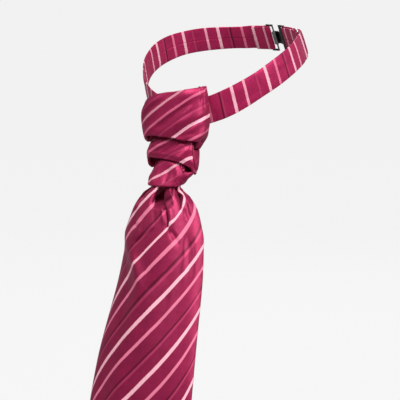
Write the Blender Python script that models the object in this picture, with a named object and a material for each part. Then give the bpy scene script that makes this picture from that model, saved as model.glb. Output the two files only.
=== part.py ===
"""A pre-tied, ruched silk cravat, hooked round a neck.

Metres, +Z up.  The wearer faces -Y, so +X is the wearer's left.  The origin is the centre
of the neck loop.  Every cloth piece is a wall of even thickness; every piece of the
adjustable fastening is laid out along the band and bent with it.
"""

import math

import bmesh
import bpy
import numpy as np

MM = 0.001
GAP = 0.3 * MM  # kept between pieces that meet

# The neck loop: an egg-shaped oval, its back higher than its front.
LOOP_HALF_WIDTH = 64.0 * MM
LOOP_HALF_DEPTH = 67.9 * MM
LOOP_EGG = 0.07  # how much broader the back half is than the front half
LOOP_TILT = math.radians(24.1)
SIDE_LIFT = 13.1 * MM  # how far the band rides up over the shoulders
LOOP_TAPER = 0.096  # how much the oval shrinks for each metre of height
BAND_WIDTH = 21.1 * MM
BAND_THICKNESS = 1.4 * MM

# The fastening.  Distances along the band start at its front and go round by the wearer's left.
METAL = 1.0 * MM  # thickness of slider, hook and eye
RAIL = 1.9 * MM  # the metal beside the band's edges
FASTENING_HALF_WIDTH = BAND_WIDTH / 2 + GAP + RAIL
SLIDER_AT = 149.0 * MM
SLIDER_BAR = 1.6 * MM
SLIDER_PITCH = 6.3 * MM  # from one bar to the next
HOOK_AT = 183.0 * MM
HOOK_BAR = 1.2 * MM
HOOK_SLOT = 3.6 * MM
HOOK_PLATE = 2.8 * MM
TONGUE_HALF_WIDTH = 6.0 * MM
EYE_NEAR_BAR_AT = 197.0 * MM
EYE_FAR_BAR_AT = 203.0 * MM
FASTENING_LIFT = 0.85 * MM  # of hook and eye, outward from the band's middle
TURNED_END = 14.0 * MM  # of the band's end behind the eye

# The knot and tail.
WALL = 1.4 * MM
EDGE_ROUNDING = 0.35 * WALL  # how far a wall's rounded edge stands out from its outline

WINE = (0.375, 0.017, 0.091)
GUNMETAL = (0.085, 0.08, 0.085)


# ---------------------------------------------------------------- shared geometry


def ease(t):
    """0 to 1, slow at both ends."""
    t = np.clip(t, 0.0, 1.0)
    return t * t * (3.0 - 2.0 * t)


def table(columns, rows, plain=()):
    """Rows of numbers in mm as named columns in metres, but for the plain ones."""
    values = dict(zip(columns, np.array(rows, float).T))
    return {name: v if name in plain else v * MM for name, v in values.items()}


def through(x, xs, ys):
    """A smooth curve through the points of a short table, at x (monotone cubic)."""
    xs, ys = np.asarray(xs, float), np.asarray(ys, float)
    if xs[0] > xs[-1]:
        xs, ys = xs[::-1], ys[::-1]
    x = np.clip(np.asarray(x, float), xs[0], xs[-1])
    step = np.diff(xs)
    slope = np.diff(ys) / step
    rate = np.zeros_like(ys)
    rate[0], rate[-1] = slope[0], slope[-1]
    for i in range(1, len(xs) - 1):
        if slope[i - 1] * slope[i] > 0:
            rate[i] = 2 * slope[i - 1] * slope[i] / (slope[i - 1] + slope[i])
    i = np.clip(np.searchsorted(xs, x, side="right") - 1, 0, len(xs) - 2)
    t = (x - xs[i]) / step[i]
    return (
        ys[i] * (1 + 2 * t) * (1 - t) ** 2
        + rate[i] * step[i] * t * (1 - t) ** 2
        + ys[i + 1] * t * t * (3 - 2 * t)
        + rate[i + 1] * step[i] * t * t * (t - 1)
    )


def at(tabled, key, value, *names):
    """Columns of a table, read at a value of its key column."""
    return [through(value, tabled[key], tabled[name]) for name in names]


def loop_point(angle, up, out):
    """A point of the neck loop: angle from the front, height on the band, distance outward."""
    s, c = np.sin(angle), np.cos(angle)
    x = (LOOP_HALF_WIDTH - LOOP_TAPER * up) * s * (1 - LOOP_EGG * c)
    y = -(LOOP_HALF_DEPTH - LOOP_TAPER * up) * c
    z = up + SIDE_LIFT * s * s
    away_x, away_y = s / LOOP_HALF_WIDTH, -c / LOOP_HALF_DEPTH
    size = np.hypot(away_x, away_y)
    x, y = x + out * away_x / size, y + out * away_y / size
    ct, st = math.cos(LOOP_TILT), math.sin(LOOP_TILT)
    return np.stack(np.broadcast_arrays(x, y * ct - z * st, y * st + z * ct), -1)


LOOP_ANGLES = np.linspace(0.0, 2 * math.pi, 721)
LOOP_STEPS = np.linalg.norm(np.diff(loop_point(LOOP_ANGLES, 0.0, 0.0), axis=0), axis=1)
LOOP_LENGTHS = np.concatenate([[0.0], np.cumsum(LOOP_STEPS)])
LOOP_LENGTH = LOOP_LENGTHS[-1]


def along_band(along, up, out):
    """A point at a distance along the band's middle line, a height on it and a distance outward."""
    return loop_point(np.interp(along, LOOP_LENGTHS, LOOP_ANGLES), up, out)


# ---------------------------------------------------------------- building solids


def material(name, colour, roughness, metallic=0.0, sheen=0.0):
    made = bpy.data.materials.new(name)
    made.use_nodes = True
    shader = made.node_tree.nodes["Principled BSDF"]
    shader.inputs["Base Color"].default_value = (*colour, 1.0)
    shader.inputs["Roughness"].default_value = roughness
    shader.inputs["Metallic"].default_value = metallic
    shader.inputs["Sheen Weight"].default_value = sheen
    made.diffuse_color = (*colour, 1.0)
    return made


def finish_object(name, bm, surface):
    """Turn a closed bmesh into a named object with its faces pointing out."""
    bmesh.ops.recalc_face_normals(bm, faces=bm.faces)
    mesh = bpy.data.meshes.new(name)
    bm.to_mesh(mesh)
    bm.free()
    mesh.materials.append(surface)
    mesh.shade_smooth()
    mesh.set_sharp_from_angle(angle=math.radians(50))
    made = bpy.data.objects.new(name, mesh)
    bpy.context.scene.collection.objects.link(made)
    return made


def close_shell(bm, front, back, filled):
    """Faces over two matching grids of vertices, with walls round every filled patch of cells."""
    rows, columns = filled.shape

    def is_filled(i, j):
        return 0 <= i < rows and 0 <= j < columns and filled[i, j]

    for i in range(rows):
        for j in range(columns):
            if not filled[i, j]:
                continue
            bm.faces.new((front[i][j], front[i + 1][j], front[i + 1][j + 1], front[i][j + 1]))
            bm.faces.new((back[i][j], back[i][j + 1], back[i + 1][j + 1], back[i + 1][j]))
            sides = (
                ((i - 1, j), (i, j), (i, j + 1)),
                ((i + 1, j), (i + 1, j), (i + 1, j + 1)),
                ((i, j - 1), (i, j), (i + 1, j)),
                ((i, j + 1), (i, j + 1), (i + 1, j + 1)),
            )
            for neighbour, (a, b), (c, d) in sides:
                if not is_filled(*neighbour):
                    bm.faces.new((front[a][b], front[c][d], back[c][d], back[a][b]))


def bent_strip(name, path, ups, thickness, surface, edge_share=1.0, cells=None, bevel=0.0):
    """A strip that follows a path of (along, out) points round the neck.

    ups are the heights of its lines across the band; edge_share is how thick its two long
    edges are beside its middle; cells says which cells are solid, all of them if None.
    """
    path = np.asarray(path, float)
    ahead = np.gradient(path, axis=0)
    ahead /= np.linalg.norm(ahead, axis=1)[:, None]
    side = np.stack([-ahead[:, 1], ahead[:, 0]], 1)
    share = np.ones(len(ups))
    share[0] = share[-1] = edge_share
    bm = bmesh.new()
    grids = []
    for face in (0.5, -0.5):
        grid = []
        for (along, out), (side_along, side_out) in zip(path, side):
            row = []
            for up, full in zip(ups, share):
                offset = face * thickness * full
                place = along_band(along + offset * side_along, up, out + offset * side_out)
                row.append(bm.verts.new(place))
            grid.append(row)
        grids.append(grid)
    if cells is None:
        cells = np.ones((len(path) - 1, len(ups) - 1), bool)
    close_shell(bm, *grids, cells)
    for vert in [v for v in bm.verts if not v.link_faces]:
        bm.verts.remove(vert)
    made = finish_object(name, bm, surface)
    if bevel:
        rounding = made.modifiers.new("Rounded edges", "BEVEL")
        rounding.width = bevel
        rounding.segments = 1
        rounding.limit_method = "ANGLE"
        rounding.angle_limit = math.radians(40)
    return made


def grid_normals(grid):
    down = np.gradient(grid, axis=0)
    across = np.gradient(grid, axis=1)
    normal = np.cross(across, down)
    return normal / np.linalg.norm(normal, axis=2)[..., None]


def wall(name, grid, thickness, surface):
    """A closed wall behind a grid of outer points, with rounded edges all round."""
    rows, columns = grid.shape[:2]
    inward = grid_normals(grid)
    if np.sum(inward * (grid - grid.mean(axis=(0, 1)))) > 0:
        inward = -inward
    away = np.zeros_like(grid)
    away[0] += grid[0] - grid[1]
    away[-1] += grid[-1] - grid[-2]
    away[:, 0] += grid[:, 0] - grid[:, 1]
    away[:, -1] += grid[:, -1] - grid[:, -2]
    bm = bmesh.new()
    outer = [[bm.verts.new(grid[i, j]) for j in range(columns)] for i in range(rows)]
    behind = grid + inward * thickness
    inner = [[bm.verts.new(behind[i, j]) for j in range(columns)] for i in range(rows)]
    ring = [(0, j) for j in range(columns)] + [(i, columns - 1) for i in range(1, rows)]
    ring += [(rows - 1, j) for j in range(columns - 2, -1, -1)]
    ring += [(i, 0) for i in range(rows - 2, 0, -1)]
    middle = []
    for i, j in ring:
        push = away[i, j] / max(np.linalg.norm(away[i, j]), 1e-9)
        place = grid[i, j] + inward[i, j] * thickness / 2 + push * EDGE_ROUNDING
        middle.append(bm.verts.new(place))
    for i in range(rows - 1):
        for j in range(columns - 1):
            bm.faces.new((outer[i][j], outer[i + 1][j], outer[i + 1][j + 1], outer[i][j + 1]))
            bm.faces.new((inner[i][j], inner[i][j + 1], inner[i + 1][j + 1], inner[i + 1][j]))
    for k, (i, j) in enumerate(ring):
        following = (k + 1) % len(ring)
        a, b = ring[following]
        bm.faces.new((outer[i][j], outer[a][b], middle[following], middle[k]))
        bm.faces.new((middle[k], middle[following], inner[a][b], inner[i][j]))
    return finish_object(name, bm, surface)


# ---------------------------------------------------------------- neckband and fastening


def eased_path(keys, step):
    """(along, out) points through a few keys, easing from one to the next."""
    path = []
    for (a, low), (b, high) in zip(keys, keys[1:]):
        count = max(2, round(abs(b - a) / step))
        for t in np.arange(count) / count:
            path.append((a + (b - a) * t, low + (high - low) * (1 - math.cos(math.pi * t)) / 2))
    return path + [keys[-1]]


def half_turn(along, out, radius, start, finish, count=7):
    """Points round a half circle, between the ends of the runs that it joins."""
    angles = np.radians(np.linspace(start, finish, count + 2)[1:-1])
    return [(along + radius * math.cos(a), out + radius * math.sin(a)) for a in angles]


BAND_LINES = (-BAND_WIDTH / 2, -BAND_WIDTH / 2 + 0.7 * MM, 0.0)
BAND_LINES += (BAND_WIDTH / 2 - 0.7 * MM, BAND_WIDTH / 2)
CLEAR = METAL / 2 + GAP + BAND_THICKNESS / 2  # band's middle to the middle of a metal bar
LAYERS = BAND_THICKNESS + GAP  # between the middles of two layers of band


def make_neckband_left(cloth):
    turn_at = HOOK_AT + 0.3 * MM
    path = eased_path([(GAP / 2, 0.0), (SLIDER_AT - 2 * SLIDER_PITCH, 0.0)], 5.5 * MM)[:-1]
    path += eased_path(
        [
            (SLIDER_AT - 2 * SLIDER_PITCH, 0.0),
            (SLIDER_AT - SLIDER_PITCH, CLEAR),
            (SLIDER_AT, -CLEAR),
            (SLIDER_AT + SLIDER_PITCH, CLEAR),
            (SLIDER_AT + 2.2 * SLIDER_PITCH, FASTENING_LIFT - CLEAR),
        ],
        1.1 * MM,
    )[:-1]
    path += eased_path(
        [
            (SLIDER_AT + 2.2 * SLIDER_PITCH, FASTENING_LIFT - CLEAR),
            (turn_at, FASTENING_LIFT - CLEAR),
        ],
        5.0 * MM,
    )
    path += half_turn(turn_at, FASTENING_LIFT, CLEAR, -90, 90)
    path += eased_path(
        [
            (turn_at, FASTENING_LIFT + CLEAR),
            (SLIDER_AT + 2.2 * SLIDER_PITCH, FASTENING_LIFT + CLEAR),
            (SLIDER_AT + SLIDER_PITCH, CLEAR + LAYERS),
            (SLIDER_AT - SLIDER_BAR / 2, CLEAR),
        ],
        2.6 * MM,
    )
    return bent_strip("neckband_left", path, BAND_LINES, BAND_THICKNESS, cloth, 0.45)


def make_neckband_right(cloth):
    turn_at = EYE_FAR_BAR_AT - 0.3 * MM
    tail_end = EYE_FAR_BAR_AT + TURNED_END
    path = eased_path(
        [(tail_end, -0.6 * MM), (turn_at + 4 * MM, -0.6 * MM), (turn_at, FASTENING_LIFT - CLEAR)],
        3.0 * MM,
    )
    path += half_turn(turn_at, FASTENING_LIFT, CLEAR, -90, -270)
    path += eased_path(
        [
            (turn_at, FASTENING_LIFT + CLEAR),
            (turn_at + 5 * MM, LAYERS - 0.6 * MM),
            (tail_end + 2 * MM, LAYERS - 0.6 * MM),
            (tail_end + 12 * MM, 0.0),
        ],
        2.5 * MM,
    )[:-1]
    path += eased_path([(tail_end + 12 * MM, 0.0), (LOOP_LENGTH - GAP / 2, 0.0)], 5.5 * MM)
    return bent_strip("neckband_right", path, BAND_LINES, BAND_THICKNESS, cloth, 0.45)


FRAME_LINES = (-FASTENING_HALF_WIDTH, -FASTENING_HALF_WIDTH + RAIL)
FRAME_LINES += (FASTENING_HALF_WIDTH - RAIL, FASTENING_HALF_WIDTH)


def make_slider(metal):
    half = SLIDER_BAR / 2
    bars = [SLIDER_AT + k * SLIDER_PITCH for k in (-1, 0, 1)]
    path = [(bar + side * half, 0.0) for bar in bars for side in (-1, 1)]
    cells = np.ones((5, 3), bool)
    cells[1, 1] = cells[3, 1] = False
    return bent_strip("slider", path, FRAME_LINES, METAL, metal, cells=cells, bevel=0.2 * MM)


def make_hook(metal):
    """A slotted plate whose tongue goes over the eye's near bar and back under it."""
    lift = METAL + GAP
    plate_end = HOOK_AT + HOOK_BAR / 2 + HOOK_SLOT + HOOK_PLATE
    path = [
        (HOOK_AT - HOOK_BAR / 2, FASTENING_LIFT),
        (HOOK_AT + HOOK_BAR / 2, FASTENING_LIFT),
        (HOOK_AT + HOOK_BAR / 2 + HOOK_SLOT, FASTENING_LIFT),
        (plate_end, FASTENING_LIFT),
        (plate_end + 1.2 * MM, FASTENING_LIFT + 0.25 * lift),
        (plate_end + 2.8 * MM, FASTENING_LIFT + lift),
        (EYE_NEAR_BAR_AT, FASTENING_LIFT + lift),
    ]
    path += half_turn(EYE_NEAR_BAR_AT + 0.2 * MM, FASTENING_LIFT, lift, 90, -90, 5)
    path += [
        (EYE_NEAR_BAR_AT, FASTENING_LIFT - lift),
        (EYE_NEAR_BAR_AT - 2.6 * MM, FASTENING_LIFT - lift),
    ]
    lines = (*FRAME_LINES[:2], -TONGUE_HALF_WIDTH, TONGUE_HALF_WIDTH, *FRAME_LINES[2:])
    cells = np.zeros((len(path) - 1, 5), bool)
    cells[0] = cells[2] = True
    cells[1, 0] = cells[1, 4] = True
    cells[3:, 2] = True
    return bent_strip("hook", path, lines, METAL, metal, cells=cells, bevel=0.2 * MM)


def make_eye(metal):
    half = HOOK_BAR / 2
    path = [(EYE_NEAR_BAR_AT - half, FASTENING_LIFT), (EYE_NEAR_BAR_AT + half, FASTENING_LIFT)]
    path += [(EYE_FAR_BAR_AT - half, FASTENING_LIFT), (EYE_FAR_BAR_AT + half, FASTENING_LIFT)]
    cells = np.ones((3, 3), bool)
    cells[1, 1] = False
    return bent_strip("eye", path, FRAME_LINES, METAL, metal, cells=cells, bevel=0.2 * MM)


# ---------------------------------------------------------------- knot

# The strip behind the knot hangs in front of the bands, then down and forward.
BACKING = table(
    ("height", "back", "middle", "half_width"),
    [
        (-14.0, -68.2, 0.0, 12.0),
        (-28.0, -63.3, 0.0, 12.0),
        (-38.0, -60.3, 0.0, 12.0),
        (-50.0, -60.6, -0.5, 12.0),
        (-62.0, -63.0, -1.5, 10.5),
        (-74.0, -66.5, -3.0, 8.0),
        (-86.0, -71.0, -4.0, 6.5),
    ],
)
BACKING_CURVE = 7.8  # how fast it curves back to both sides, as the band does, for each metre

# Sections of each fold: how far it reaches each way at a height.
SECTION = ("height", "right", "left", "front", "back")
TOP_SECTIONS = table(
    SECTION,
    [
        (-4.0, -25.5, 28.0, -83.0, -56.0),
        (-12.0, -27.5, 28.5, -85.2, -56.0),
        (-20.0, -28.5, 29.0, -86.2, -56.0),
        (-32.0, -29.3, 29.8, -86.8, -56.0),
        (-42.0, -27.5, 28.5, -86.8, -56.0),
        (-50.0, -25.0, 25.5, -86.3, -57.0),
        (-58.0, -23.0, 23.5, -85.5, -58.0),
    ],
)
MIDDLE_SECTIONS = table(
    SECTION,
    [
        (-42.0, -19.0, 19.0, -80.5, -60.0),
        (-50.0, -21.7, 20.5, -82.6, -60.0),
        (-58.0, -24.5, 20.8, -83.8, -60.0),
        (-66.0, -24.5, 21.2, -84.2, -61.5),
        (-76.0, -22.5, 21.0, -84.0, -63.5),
    ],
)
BOTTOM_SECTIONS = table(
    SECTION,
    [
        (-56.0, -17.5, 17.3, -79.0, -62.5),
        (-64.0, -19.0, 18.6, -80.8, -64.0),
        (-72.0, -20.0, 18.6, -82.8, -66.0),
        (-77.0, -19.8, 14.5, -85.0, -68.5),
        (-82.0, -19.2, 10.6, -87.2, -71.0),
    ],
)

# Heights of a fold's upper and lower edges, from its back right edge (-1) to its left (+1).
EDGES = ("side", "upper", "lower")
TOP_EDGES = table(
    EDGES,
    [
        (-1.0, -31.0, -44.0),
        (-0.60, -29.0, -49.3),
        (-0.42, -22.5, -46.0),
        (-0.28, -16.0, -43.5),
        (-0.10, -11.5, -42.5),
        (0.20, -7.5, -44.7),
        (0.50, -5.5, -48.5),
        (0.75, -6.0, -51.5),
        (1.0, -9.0, -49.0),
    ],
    plain=("side",),
)
MIDDLE_EDGES = table(
    EDGES,
    [
        (-1.0, -44.0, -64.0),
        (-0.65, -43.0, -69.0),
        (-0.45, -42.5, -65.0),
        (-0.3, -42.0, -60.5),
        (-0.1, -42.0, -60.0),
        (0.2, -43.0, -62.5),
        (0.5, -45.0, -68.3),
        (0.75, -46.0, -73.0),
        (1.0, -46.0, -69.0),
    ],
    plain=("side",),
)
BOTTOM_EDGES = table(
    EDGES,
    [
        (-1.0, -60.0, -80.0),
        (-0.5, -57.0, -81.5),
        (0.0, -57.0, -81.3),
        (0.5, -60.0, -81.5),
        (1.0, -64.0, -80.5),
    ],
    plain=("side",),
)
SQUARENESS = 2.35  # of a fold's section: 2 is an oval, more is boxier
SIDE_OF_BACKING = 1.6 * MM  # how softly a fold's back turns flat against the backing


def fold_point(sections, side, height):
    """A point on a fold's outer face, from its back right edge (-1) to its back left edge (+1)."""
    right, left, front, back = at(sections, "height", height, "right", "left", "front", "back")
    half, deep = (left - right) / 2, (back - front) / 2
    middle, centre = (left + right) / 2, (front + back) / 2
    backing_back, backing_middle, backing_half = at(
        BACKING, "height", height, "back", "middle", "half_width"
    )
    clear = backing_half + GAP + 2 * EDGE_ROUNDING
    reach = (clear + np.sign(side) * (backing_middle - middle)) / half
    angle = side * (math.pi - np.arcsin(reach ** (SQUARENESS / 2)))
    sine, cosine = np.sin(angle), np.cos(angle)
    power = 2.0 / SQUARENESS
    x = middle + half * np.sign(sine) * np.abs(sine) ** power
    y = centre - deep * np.sign(cosine) * np.abs(cosine) ** power
    limit = backing_back + BACKING_CURVE * x * x
    y = limit - SIDE_OF_BACKING * np.logaddexp(0.0, (limit - y) / SIDE_OF_BACKING)
    return np.stack([x, y, height], -1)


def make_fold(name, sections, edges, columns, rows, surface, upper_roll, lower_roll):
    """One fold of the knot: a wall round its front and sides, rolled in at its edges."""
    sides = np.linspace(-1.0, 1.0, columns)
    upper, lower = at(edges, "side", sides, "upper", "lower")
    grid = []
    for down in np.linspace(0.0, 1.0, rows):
        height = upper + (lower - upper) * down
        place = fold_point(sections, sides, height)
        centre = np.array([0.0, float(place[:, 1].mean()), 0.0])
        inward = centre - place * np.array([1.0, 1.0, 0.0])
        inward /= np.linalg.norm(inward, axis=1)[:, None]
        roll = upper_roll * (1 - ease(down / 0.22)) + lower_roll * ease((down - 0.8) / 0.2)
        roll = roll * (1 - ease((np.abs(sides) - 0.65) / 0.2))
        grid.append(place + inward * roll[:, None])
    return wall(name, np.array(grid), WALL, surface)


def make_backing(cloth):
    heights = np.linspace(BACKING["height"][0], BACKING["height"][-1], 14)
    across, height = np.meshgrid(np.linspace(-1, 1, 6), heights)
    back, middle, half = at(BACKING, "height", height, "back", "middle", "half_width")
    x = middle + half * across
    grid = np.stack([x, back + BACKING_CURVE * x * x, height], -1)
    return wall("knot_backing", grid, WALL, cloth)


# ---------------------------------------------------------------- tail

# Sections of the tail: its front line and its spread at a distance down from its top.
TAIL = table(
    ("down", "height", "middle", "front", "half_chord", "depth"),
    [
        (0.0, -76.5, -4.0, -82.2, 11.5, 8.0),
        (6.5, -83.0, -4.1, -85.6, 13.0, 9.0),
        (14.0, -90.0, -3.8, -89.6, 22.0, 12.0),
        (25.0, -100.0, -3.5, -93.8, 29.5, 15.0),
        (36.0, -110.5, -3.5, -97.5, 33.5, 17.5),
        (48.0, -122.0, -3.5, -101.0, 37.0, 19.0),
        (75.0, -148.0, -3.0, -107.5, 40.0, 19.0),
        (115.0, -187.0, -3.0, -116.5, 43.0, 16.5),
        (180.0, -250.5, -2.5, -130.0, 47.0, 12.0),
        (290.0, -359.0, -2.0, -148.5, 50.0, 9.0),
    ],
)
TAIL_SIDE_LENGTH = 258.0 * MM
TAIL_LENGTH = 305.0 * MM  # down to the point
TAIL_ROUND = math.radians(78)  # how far the section has turned back at its edges
END_SLOPE = 0.16  # forward for each metre down, below the last section

# The pleats at the tail's top, from its right edge (-1) to its left edge (+1), and how far
# down each one fades out.
PLEATS = table(
    ("side", "half_width", "depth", "fades"),
    [
        (-0.62, 0.15, 3.0, 46.0),
        (-0.12, 0.17, 9.5, 52.0),
        (0.42, 0.12, 7.0, 50.0),
        (0.76, 0.11, 3.5, 42.0),
    ],
    plain=("side", "half_width"),
)


def tail_point(side, down):
    """A point on the tail's outer face, from its right edge (-1) to its left edge (+1)."""
    height, middle, front, half, depth = at(
        TAIL, "down", down, "height", "middle", "front", "half_chord", "depth"
    )
    turn = side * TAIL_ROUND
    x = middle + half * np.sin(turn) / math.sin(TAIL_ROUND)
    back = depth * (1 - np.cos(turn)) / (1 - math.cos(TAIL_ROUND))
    for place, half_width, pleat_depth, fades in zip(*PLEATS.values()):
        reach = np.clip(np.abs(side - place) / half_width, 0.0, 1.0)
        still = 1 - ease(down / fades)
        back = back + pleat_depth * still * (0.5 + 0.5 * np.cos(math.pi * reach))
    past_end = np.maximum(down - TAIL["down"][-1], 0.0)
    return np.stack([x, front + back - END_SLOPE * past_end, height - past_end], -1)


def make_tail(cloth):
    sides = np.linspace(-1.0, 1.0, 41)
    pleated = np.linspace(0.0, 60.0 * MM, 15)
    downs = np.concatenate([pleated, np.linspace(76.0 * MM, TAIL_SIDE_LENGTH, 11)])
    grid = []
    across = np.abs(np.sin(sides * TAIL_ROUND)) / math.sin(TAIL_ROUND)
    point = (TAIL_LENGTH - TAIL_SIDE_LENGTH) * (1 - across)
    for down in downs:
        grid.append(tail_point(sides, down + point * ease(down / TAIL_SIDE_LENGTH) ** 2))
    return wall("tail", np.array(grid), WALL, cloth)


def main():
    for old in list(bpy.data.objects):
        bpy.data.objects.remove(old, do_unlink=True)
    bands = material("band_silk", WINE, 0.42, sheen=0.3)
    folds = material("knot_silk", WINE, 0.38, sheen=0.3)
    blade = material("tail_silk", WINE, 0.40, sheen=0.3)
    metal = material("dark_metal", GUNMETAL, 0.32, metallic=1.0)
    make_neckband_left(bands)
    make_neckband_right(bands)
    make_slider(metal)
    make_hook(metal)
    make_eye(metal)
    make_fold("tier_top", TOP_SECTIONS, TOP_EDGES, 37, 11, folds, 2.0 * MM, 1.2 * MM)
    make_fold("tier_middle", MIDDLE_SECTIONS, MIDDLE_EDGES, 33, 9, folds, 0.0, 1.0 * MM)
    make_fold("tier_bottom", BOTTOM_SECTIONS, BOTTOM_EDGES, 33, 9, folds, 0.0, 0.0)
    make_backing(folds)
    make_tail(blade)


main()
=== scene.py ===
"""Looks for the silk cravat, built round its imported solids.

Lengths in the tables are in mm, everything else in metres.  The sizes of the neck loop, the
folds and the tail repeat the CAD part's, so each cloth shell lies on its solid's form.
The wearer faces -Y, so +X is the wearer's left.
"""

import math

import bpy
import numpy as np
from mathutils import Matrix, Vector


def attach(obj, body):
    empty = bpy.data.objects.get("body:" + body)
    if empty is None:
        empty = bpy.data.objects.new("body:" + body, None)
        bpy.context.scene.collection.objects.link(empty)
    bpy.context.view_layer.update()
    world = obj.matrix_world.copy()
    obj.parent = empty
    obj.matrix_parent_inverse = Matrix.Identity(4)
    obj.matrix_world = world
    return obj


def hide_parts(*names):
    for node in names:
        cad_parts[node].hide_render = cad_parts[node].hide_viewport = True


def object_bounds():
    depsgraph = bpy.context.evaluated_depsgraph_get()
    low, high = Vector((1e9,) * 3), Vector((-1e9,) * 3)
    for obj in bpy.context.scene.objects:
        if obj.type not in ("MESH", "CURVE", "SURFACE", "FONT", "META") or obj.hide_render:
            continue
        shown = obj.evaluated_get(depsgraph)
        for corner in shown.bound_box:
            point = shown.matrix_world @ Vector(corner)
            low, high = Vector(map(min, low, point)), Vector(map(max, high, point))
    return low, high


MM = 0.001
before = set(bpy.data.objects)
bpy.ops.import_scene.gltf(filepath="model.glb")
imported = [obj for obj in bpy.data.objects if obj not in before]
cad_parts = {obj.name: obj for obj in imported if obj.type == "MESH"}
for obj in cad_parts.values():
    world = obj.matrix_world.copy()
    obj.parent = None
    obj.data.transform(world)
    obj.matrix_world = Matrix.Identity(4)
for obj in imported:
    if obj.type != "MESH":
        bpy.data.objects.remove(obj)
cad_low, cad_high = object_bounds()
scene = bpy.context.scene


def linked(name, data):
    """A new object of the scene."""
    made = bpy.data.objects.new(name, data)
    scene.collection.objects.link(made)
    return made


def meshed(name, points, faces, surface):
    """A new smooth mesh object of one material."""
    mesh = bpy.data.meshes.new(name)
    mesh.from_pydata(points, [], faces)
    mesh.materials.append(surface)
    mesh.shade_smooth()
    return linked(name, mesh)


# ---- materials


class Nodes:
    """Short calls for building a material's node tree; a value is a number or an output."""

    def __init__(self, name):
        self.material = bpy.data.materials.new(name)
        self.material.use_nodes = True
        self.tree = self.material.node_tree

    def put(self, values, sockets):
        for key, value in values.items():
            if hasattr(value, "is_output"):
                self.tree.links.new(value, sockets[key])
            else:
                sockets[key].default_value = value

    def surface(self, inputs):
        self.put(inputs, self.tree.nodes["Principled BSDF"].inputs)
        return self.material

    def add(self, kind, inputs, output=0, **settings):
        """The output of a new node, given its inputs by name or place."""
        node = self.tree.nodes.new(kind)
        for key, value in settings.items():
            setattr(node, key, value)
        self.put(inputs, node.inputs)
        return node.outputs[output]

    def math(self, operation, *values, clamp=False):
        inputs = dict(enumerate(values))
        return self.add("ShaderNodeMath", inputs, operation=operation, use_clamp=clamp)

    def plus(self, a, b):
        return self.math("ADD", a, b)

    def minus(self, a, b):
        return self.math("SUBTRACT", a, b)

    def times(self, a, b):
        return self.math("MULTIPLY", a, b)

    def mix(self, amount, low, high):
        return self.add("ShaderNodeMix", {0: amount, 6: low, 7: high}, 2, data_type="RGBA")

    def spread(self, *value_from_to):
        """Brings a value smoothly from one range to another, 0 to 1 if not given."""
        inputs = dict(enumerate(value_from_to))
        return self.add("ShaderNodeMapRange", inputs, interpolation_type="SMOOTHSTEP")

    def place(self):
        return self.add("ShaderNodeTexCoord", {}, "Object")

    def noise(self, vector, scale, detail=2.0, roughness=0.5):
        inputs = {"Vector": vector, "Scale": scale, "Detail": detail, "Roughness": roughness}
        return self.add("ShaderNodeTexNoise", inputs, "Fac")

    def stretched(self, vector, x, y, z=1.0):
        return self.add("ShaderNodeMapping", {"Vector": vector, "Scale": (x, y, z)})

    def bump(self, height, distance, strength, **below):
        inputs = {"Height": height, "Distance": distance, "Strength": strength, **below}
        return self.add("ShaderNodeBump", inputs)


REPEAT = 0.03  # the cloth map runs one stripe repeat in this many metres

# The stripes of one repeat: (place, half width, as shares of the repeat).
BRIGHT_STRIPE = (0.0, 0.04)
PINK_STRIPE = (0.34, 0.033)
DARK_LINE = (0.66, 0.02)
FAINT_LINE = (0.71, 0.024)

WINE = (0.3, 0.01, 0.06, 1.0)
WINE_DEEP = (0.225, 0.006, 0.044, 1.0)
# lighter wine of the floats' streaks: painted sheen
WINE_SHEEN_PAINTED = (0.46, 0.028, 0.125, 1.0)
BRIGHT = (0.88, 0.45, 0.54, 1.0)
BRIGHT_RIB_SHADED = (0.74, 0.3, 0.4, 1.0)
PINK = (0.7, 0.135, 0.255, 1.0)
PINK_RIB_SHADED = (0.6, 0.09, 0.2, 1.0)
DARK = (0.1, 0.002, 0.018, 1.0)
FAINT = (0.58, 0.06, 0.165, 1.0)

RIB, TWILL = 0.9 * MM, 0.42 * MM  # pitches of the ribs and of the twill lines
STREAKS = (2600, 260)  # of the satin's floats, per metre across and along
STRIPE_WANDER = 0.012  # of a repeat


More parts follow.
